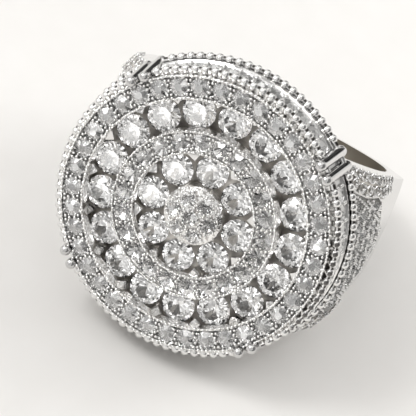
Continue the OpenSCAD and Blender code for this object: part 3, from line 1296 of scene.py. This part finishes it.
@dataclass
class SideStones:
    """The small stones in the belt round the head's side, with four grains in each gap."""

    ring: RingFrame
    head: HeadSizes
    count: int = 54
    diameter: float = 1.08
    lift: float = 0.06
    margin: float = 4.4
    grain_r: float = 0.16
    grain_rows: tuple = (-0.5, -0.3, 0.3, 0.5)
    grain_lift: float = 0.1
    grain_margin: float = 3.4
    seed: int = 5
    cutter: StoneCutter = StoneCutter()
    maker: GrainMaker = GrainMaker()

    def places(self, shift: float, up: float, lift: float, margin: float) -> list[Matrix]:
        """Places round the belt, facing outwards.

        Args:
            shift: Turn of the circle, in steps.
            up: Distance up the belt from its middle.
            lift: Height over the belt's face.
            margin: Degrees that stay free at each prong.

        Returns:
            A matrix for each.
        """
        middle, facing = self.head.belt()
        spot = middle + facing * lift + Vector((-facing.y, facing.x)) * up
        places = []
        for i in range(self.count):
            a = (i + shift) * math.tau / self.count
            if not self.head.near_prong(a, margin):
                point = polar(a, spot.x, self.head.head_z + spot.y)
                places.append(self.ring.place(point, polar(a, facing.x, facing.y), UP))
        return places

    def build(self, stone: Dress, metal: Dress) -> None:
        """Makes and dresses the belt's stones and grains.

        Args:
            stone: The stones' dress.
            metal: The grains' dress.
        """
        stones = self.cutter.seated(self.places(0.0, 0.0, self.lift, self.margin), self.seed)
        Bench.repeat("side_stones", self.cutter.cut(self.diameter), stones, stone)
        grains = [place for up in self.grain_rows
                  for place in self.places(0.5, up, self.grain_lift, self.grain_margin)]
        Bench.repeat("side_grains", self.maker.dot(self.grain_r), grains, metal)


Spots = list[tuple[float, float]]


@dataclass
class ShoulderStones:
    """The stones and grains of both shoulders: their panels and the facets beside them."""

    ring: RingFrame
    band: ShoulderSizes
    grain_r: float = 0.14
    grain_stem: float = 0.25
    grain_row: float = 0.62
    grain_side: float = 0.13
    fill_pitch: float = 0.38
    fill_sink: float = 0.05
    fill_most: int = 40
    facet_d: float = 0.78
    facet_pitch: float = 0.8
    facet_top: float = 10.2
    facet_low: float = 3.3
    facet_border: float = 4.97
    facet_lift: float = 0.1
    facet_rows: tuple = ((0.0, (0.26,)), (0.5, (0.75,)))
    dot_r: float = 0.13
    dot_lift: float = 0.12
    dot_rows: tuple = ((0.5, (0.03, 0.36)), (0.0, (0.64, 0.97)))
    panel_seed: int = 6
    facet_seed: int = 7
    cutter: StoneCutter = StoneCutter()
    maker: GrainMaker = GrainMaker()

    def on_panel(self, side: int, turn: float, y: float, lift: float) -> Matrix:
        """A place on a shoulder's panel.

        Args:
            side: 1 for the right shoulder, -1 for the left one.
            turn: Angle round the axis of the outer curve.
            y: Place across the width.
            lift: Height over the shoulder's face.

        Returns:
            The place's matrix.
        """
        reach = self.band.surface(turn, y) + lift
        out = (side * math.cos(turn), 0.0, math.sin(turn))
        point = (reach * out[0], y, self.band.outer_z + reach * out[2])
        return self.ring.place(point, out, (0, 1, 0))

    def spots(self) -> Spots:
        """Lays out the panel's stones in staggered rows.

        Returns:
            Each stone's angle round the axis of the outer curve, and its place across the width.
        """
        band = self.band
        r = band.stone_d / 2
        pitch = band.stone_d + band.gap
        step = band.row_step(pitch)
        first = math.asin((band.tray_low + r * math.hypot(1, band.tray_vee) - band.outer_z)
                          / band.outer_r) + step / 4
        last = band.panel_top() - step / 2
        stones = []
        for k in range(int((last - first) / step) + 1):
            turn = first + k * step
            stagger = (k % 2) * 0.5
            for j in range(math.floor(band.room(turn, r) / pitch - stagger) + 1):
                width = (j + stagger) * pitch
                stones += [(turn, s * width) for s in ((1,) if width == 0 else (-1, 1))]
        return stones

    def spare_spots(self, taken: Spots) -> Spots:
        """Finds the spots of the panel that its stones leave free.

        Args:
            taken: The stones' spots.

        Returns:
            The free spots, in staggered rows.
        """
        band = self.band
        clear = band.stone_d / 2 + self.fill_pitch / 3
        step = band.row_step(self.fill_pitch)
        free = []
        for k in range(int(band.panel_top() / step)):
            turn = (k + 0.5) * step
            room = band.room(turn, self.fill_pitch / 2)
            for j in range(-self.fill_most, self.fill_most + 1):
                y = (j + (k % 2) * 0.5) * self.fill_pitch
                away = min(math.hypot((turn - other[0]) * band.outer_r, y - other[1]) for other in taken)
                if abs(y) < room and away > clear:
                    free.append((turn, y))
        return free

    def on_facets(self, side: int, lift: float, rows: Sequence[tuple]) -> list[Matrix]:
        """Places in rows along the two facets of a shoulder.

        Args:
            side: 1 for the right shoulder, -1 for the left one.
            lift: Height over the facet.
            rows: Pairs of where rows start, in steps, and where they lie between the facet's inner
                border, 0, and its outer one, 1.

        Returns:
            A matrix for each place.
        """
        band = self.band
        places = []
        for shift, across in rows:
            for s in (-1, 1):
                z = self.facet_top - shift * self.facet_pitch
                while z > self.facet_low:
                    x = math.sqrt(band.outer_r ** 2 - (z - band.outer_z) ** 2)
                    inner = max(self.facet_border, band.panel_half_w(x, z) + band.tray_rim)
                    rise = band.facet_rise if z > band.facet_turn else 0.0
                    normal = Vector((side, s * band.facet_in, rise)).normalized()
                    for share in across:
                        y = inner + (band.side_w(z) - inner) * share
                        point = Vector((side * band.facet_reach(y, z), s * y, z)) + normal * lift
                        places.append(self.ring.place(point, normal, UP))
                    z -= self.facet_pitch
        return places

    def build(self, stone: Dress, metal: Dress) -> None:
        """Makes and dresses the shoulders' stones and grains.

        Args:
            stone: The stones' dress.
            metal: The grains' dress.
        """
        band, cutter, maker = self.band, self.cutter, self.maker
        taken = self.spots()
        spare = self.spare_spots(taken)
        ahead = band.row_step(band.stone_d + band.gap) * self.grain_row
        for side, word in ((1, "right"), (-1, "left")):
            stones = [self.on_panel(side, turn, y, -band.sink) for turn, y in taken]
            Bench.repeat(f"shoulder_stones_{word}", cutter.cut(band.stone_d),
                         cutter.seated(stones, self.panel_seed), stone, f"shoulder_pave_{word}")
            grains = [self.on_panel(side, turn + s * ahead, y + t * self.grain_side, 0.0)
                      for turn, y in taken for s in (-1, 1) for t in (-1, 1)]
            grains += [self.on_panel(side, turn, y, -self.fill_sink) for turn, y in spare]
            Bench.repeat(f"shoulder_grains_{word}", maker.grain(self.grain_r, self.grain_stem), grains,
                         metal)
            stones = self.on_facets(side, self.facet_lift, self.facet_rows)
            Bench.repeat(f"facet_stones_{word}", cutter.cut(self.facet_d),
                         cutter.seated(stones, self.facet_seed), stone)
            dots = self.on_facets(side, self.dot_lift, self.dot_rows)
            Bench.repeat(f"facet_grains_{word}", maker.dot(self.dot_r), dots, metal)


class Patch(NamedTuple):
    """A round patch of the sky: its direction, the degrees where it fades, and its strength."""

    toward: Sequence[float]
    inner: float
    outer: float
    strength: float


class Lamp(NamedTuple):
    """A soft square lamp, in metres and watts, and whether polished surfaces show it."""

    name: str
    at: tuple
    size: float
    power: float
    mirrored: bool


@dataclass
class Studio:
    """Camera, floor, sky and lamps; the camera's places are millimetres in the upright frame."""

    ring: RingFrame
    camera_at: tuple = (25.54, 50.92, 132.939)
    camera_to: tuple = (0.722, 0.877, 13.2)
    camera_right: tuple = (0.87267824, 0.35904541, -0.33093668)
    lens: float = 155.77
    sensor: float = 36.0
    near: float = 0.001
    floor_size: float = 1.6
    floor_dark: tuple = (0.745, 0.73, 0.705, 1.0)
    floor_light: tuple = (0.785, 0.77, 0.75, 1.0)
    floor_scale: float = 300.0
    floor_detail: float = 4.0
    floor_roughness: float = 0.55
    sky_colour: tuple = (1.0, 0.99, 0.975, 1.0)
    sky_low: float = 0.36
    window_light: float = 1.45
    window_scale: float = 7.0
    backdrop: float = 0.85
    camera_shade: tuple = (8.0, 24.0, 0.3)
    left_shade: Patch = Patch((0.850, 0.500, 0.167), 30.0, 39.0, 0.72)
    low_shades: tuple = (Patch((-0.06, 0.985, 0.12), 20.0, 24.0, 0.94),
                         Patch((0.72, -0.68, 0.12), 15.0, 19.0, 0.94))
    bead_light: Patch = Patch((-0.18, -0.62, 0.76), 8.0, 15.0, 0.4)
    glare_at: tuple = (-5.35, 3.8, 13.2)
    glare: tuple = (1.9, 2.5, 4.0)
    lamps: tuple = (Lamp("key_light", (-0.3, -0.1, 0.42), 0.2, 1.1, True),
                    Lamp("fill_light", (0.16, 0.12, 0.13), 0.14, 0.30, False))

    def camera(self) -> None:
        """Stands the camera at the photo's angle to the ring."""
        at, to = Vector(self.camera_at), Vector(self.camera_to)
        back = (at - to).normalized()
        right = Vector(self.camera_right)
        right = (right - right.dot(back) * back).normalized()
        up = back.cross(right)
        stand = Matrix((right, up, back)).transposed().to_4x4()
        stand.translation = at * MM
        data = bpy.data.cameras.new("camera")
        data.lens = self.lens
        data.sensor_width = self.sensor
        data.clip_start = self.near
        camera = bpy.data.objects.new("camera", data)
        bpy.context.scene.collection.objects.link(camera)
        camera.matrix_world = self.ring.matrix() @ stand
        bpy.context.scene.camera = camera

    def floor(self, height: float) -> None:
        """Lays the plain pale floor.

        Args:
            height: Where the ring's lowest point lies, in metres.
        """
        Bench.clear()
        bpy.ops.mesh.primitive_plane_add(size=self.floor_size, location=(0.0, 0.0, height))
        plane = bpy.context.object
        plane.name = "floor"
        bpy.ops.object.transform_apply(location=True, rotation=True, scale=True)
        material, bench = new_material("pale_floor")
        grain = bench.noise(self.floor_scale, self.floor_detail)
        bench.surface({"Base Color": bench.blend(grain, self.floor_dark, self.floor_light),
                       "Roughness": self.floor_roughness})
        plane.data.materials.append(material)

    def shades(self) -> tuple[Patch, ...]:
        """Finds the sky's dark patches.

        Returns:
            The one behind the camera, the one at the left, and two low ones.
        """
        camera = self.ring.matrix() @ (Vector(self.camera_at) - Vector(self.camera_to))
        left = self.left_shade._replace(toward=self.ring.matrix() @ Vector(self.left_shade.toward))
        return (Patch(camera, *self.camera_shade), left, *self.low_shades)

    def lights(self) -> tuple[Patch, ...]:
        """Finds the sky's bright patches.

        Returns:
            One that the beads show, and one that the level tables at glare_at mirror to the camera.
        """
        ray = Vector(self.glare_at) - Vector(self.camera_at)
        ray.z = -ray.z
        return self.bead_light, Patch(self.ring.matrix() @ ray, *self.glare)

    def sky(self) -> None:
        """Builds the soft sky: windows of many strengths, with its dark and bright patches."""
        world = bpy.data.worlds.new("soft_sky")
        world.use_nodes = True
        bpy.context.scene.world = world
        bench = ShaderBench(world.node_tree)
        look = bench.add("ShaderNodeTexCoord").outputs["Generated"]

        def seen_in(patch: Patch) -> Number:
            """Masks a patch and gives it its strength.

            Args:
                patch: The patch.

            Returns:
                Its strength within its inner degrees, 0 beyond its outer ones.
            """
            dot = bench.add("ShaderNodeVectorMath", {"operation": "DOT_PRODUCT"},
                            {0: look, 1: Vector(patch.toward).normalized()})
            cosine = Number(bench, dot.outputs["Value"])
            inner, outer = math.radians(patch.inner), math.radians(patch.outer)
            return cosine.rise(math.cos(outer), math.cos(inner)) * patch.strength

        cells = bench.add("ShaderNodeTexVoronoi", None, {"Vector": look, "Scale": self.window_scale})
        parts = bench.add("ShaderNodeSeparateColor", None, {0: cells.outputs["Color"]})
        windows = Number(bench, parts.outputs[0])
        light = self.sky_low + windows * windows * self.window_light
        for patch in self.shades():
            light = light * (1 - seen_in(patch))
        for patch in self.lights():
            light = light + seen_in(patch)
        camera_ray = Number(bench, bench.add("ShaderNodeLightPath").outputs["Is Camera Ray"])
        light = light * (1 - camera_ray) + camera_ray * self.backdrop
        sky = bench.add("ShaderNodeBackground", None, {"Color": self.sky_colour, "Strength": light})
        bench.add("ShaderNodeOutputWorld", None, {"Surface": sky.outputs[0]})
        bpy.context.scene.view_settings.view_transform = "Standard"

    @staticmethod
    def hang(lamp: Lamp) -> None:
        """Hangs a soft lamp that faces the ring.

        Args:
            lamp: The lamp's place and light.
        """
        data = bpy.data.lights.new(lamp.name, "AREA")
        data.size = lamp.size
        data.energy = lamp.power
        light = bpy.data.objects.new(lamp.name, data)
        light.visible_glossy = light.visible_transmission = lamp.mirrored
        bpy.context.scene.collection.objects.link(light)
        facing = Vector(lamp.at).to_track_quat("Z", "Y").to_matrix().to_4x4()
        light.matrix_world = Matrix.Translation(lamp.at) @ facing

    def build(self, height: float) -> None:
        """Sets up the whole studio.

        Args:
            height: Where the floor lies, in metres.
        """
        self.camera()
        self.floor(height)
        self.sky()
        for lamp in self.lamps:
            self.hang(lamp)


def main() -> None:
    """Builds the dressed ring."""
    logging.basicConfig(level=logging.INFO, format="%(message)s")
    ring = RingFrame.from_record(frame["record"])
    head, band = HeadSizes(), ShoulderSizes()
    Studio(ring).build(cad_box[0].z)

    Bench.coat(frame["nodes"]["shank"], ShankFinish(ring, head, band).material())
    Bench.coat(frame["nodes"]["setting"], SettingFinish(ring, head, band).material())
    beads = Dress(BeadFinish(ring, head, band).material(), Slot.METAL)
    grains = Dress(GrainFinish(ring, head, band).material(), Slot.METAL)
    small = Dress(StoneFinish("small_clear_stone", ior=2.15, mirror=0.25).material(), Slot.SMALL)
    large = StoneFinish("large_clear_stone", scale=400.0).material()

    stones = HeadStones(ring, head)
    stones.build(small, large)
    HeadGrains(ring, head, stones).build(grains, beads)
    ChannelWedges(ring, head).build(beads)
    SideStones(ring, head).build(small, grains)
    ShoulderStones(ring, band).build(small, grains)


if __name__ == "__main__":
    main()
